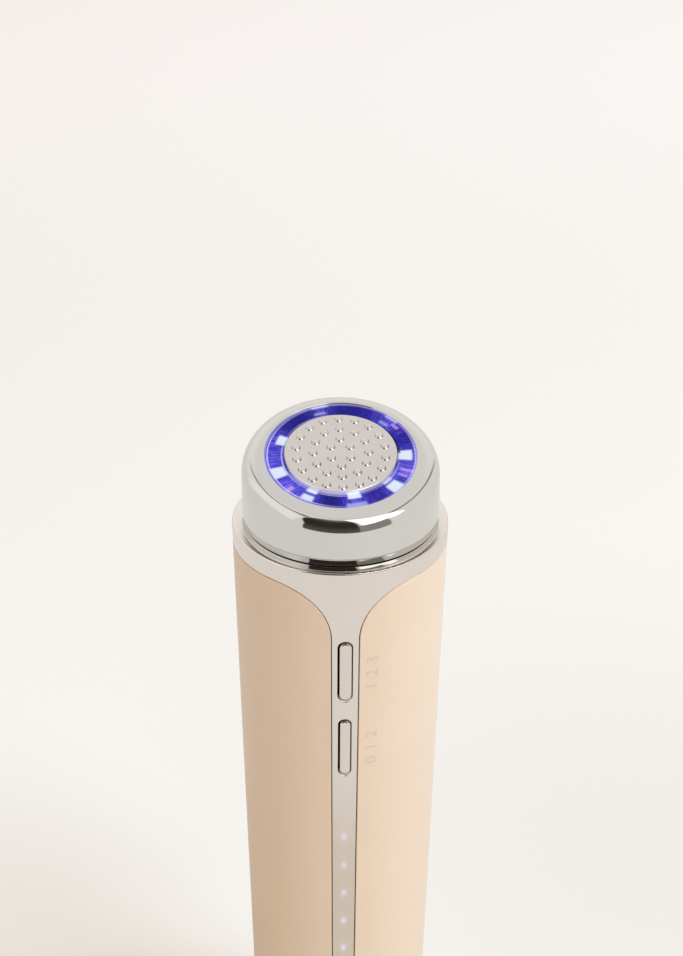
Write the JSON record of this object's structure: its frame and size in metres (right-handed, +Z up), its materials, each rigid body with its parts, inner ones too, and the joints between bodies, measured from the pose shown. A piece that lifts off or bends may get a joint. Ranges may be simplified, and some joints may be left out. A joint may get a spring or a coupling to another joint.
{
  "type": "facial toning device",
  "caption": "Hand-held facial toning wand that stands on its foot: tapered handle, silver spine with push buttons and lights, chromed slanted head with bumped centre electrode and light ring.",
  "frame": {"origin": "centre of the handle's axis in the plane of the foot's underside, where the object stands", "axes": "+Z up along the handle, -Y towards the front with the buttons and the spine, +X to the right as seen from the front"},
  "size_m": [0.0438, 0.0438, 0.1693],
  "materials": {
    "chrome": "polished",
    "satin_silver": "satin metallic",
    "peach_coat": "satin pearl",
    "button_peach": "satin pearl",
    "light_clear": "clear, tinted blue",
    "led_white": "lit lens",
    "seal_black": "matt",
    "rubber_black": "matt",
    "plastic_black": "matt",
    "plastic_white": "matt",
    "plunger_cream": "matt",
    "board_green": "solder mask",
    "board_white": "white solder mask",
    "chip_black": "moulded",
    "core_grey": "ferrite",
    "cell_wrap": "shrink wrap",
    "nickel": "plain",
    "gold": "gold plated",
    "steel": "plain",
    "weight_metal": "sintered",
    "ribbon_amber": "polyimide",
    "wire_skin": "insulation"
  },
  "bodies": {
    "body": {"head_cap": "chrome", "head_ring": "chrome", "head_seal": "seal_black", "light_ring": "light_clear", "led_chips": "led_white", "centre_electrode": "chrome", "collar_spine": "satin_silver", "handle_sleeve": "peach_coat", "light_pipes": "light_clear", "indicator_leds": "led_white", "light_baffle": "plastic_black", "main_board": "board_green", "board_chips": "chip_black", "pulse_transformer": "core_grey", "switch_bodies": "chip_black", "board_screws": "steel", "chassis": "plastic_white", "chassis_screw": "steel", "battery_cell": "cell_wrap", "battery_tabs": "nickel", "battery_straps": "plastic_white", "battery_leads": "wire_skin", "led_board": "board_white", "electrode_pin": "gold", "head_frame": "plastic_white", "head_base": "plastic_white", "head_screws": "steel", "head_ribbon": "ribbon_amber", "cap_contact": "gold", "electrode_leads": "wire_skin", "motor_can": "steel", "motor_damper": "rubber_black", "motor_leads": "wire_skin", "base_cap": "satin_silver", "base_screws": "steel", "foot_ring": "rubber_black", "charge_socket": "steel", "charge_tongue": "plastic_black", "charge_board": "board_green", "charge_leads": "wire_skin"},
    "mode_key": {"mode_button": "button_peach", "mode_plunger": "plunger_cream"},
    "level_key": {"level_button": "button_peach", "level_plunger": "plunger_cream"},
    "vibration_rotor": {"motor_shaft": "steel", "eccentric_weight": "weight_metal"}
  },
  "joints": [
    {"name": "mode_press", "type": "slide", "parent": "body", "child": "mode_key", "axis": [0, 1, 0], "range_m": [0, 0.0005], "stiffness_N_per_m": 2000},
    {"name": "level_press", "type": "slide", "parent": "body", "child": "level_key", "axis": [0, 1, 0], "range_m": [0, 0.0005], "stiffness_N_per_m": 2000},
    {"name": "vibration_spin", "type": "hinge", "parent": "body", "child": "vibration_rotor", "pos_m": [0, 0.009, 0.155], "axis": [0, 0, 1], "continuous": true}
  ]
}
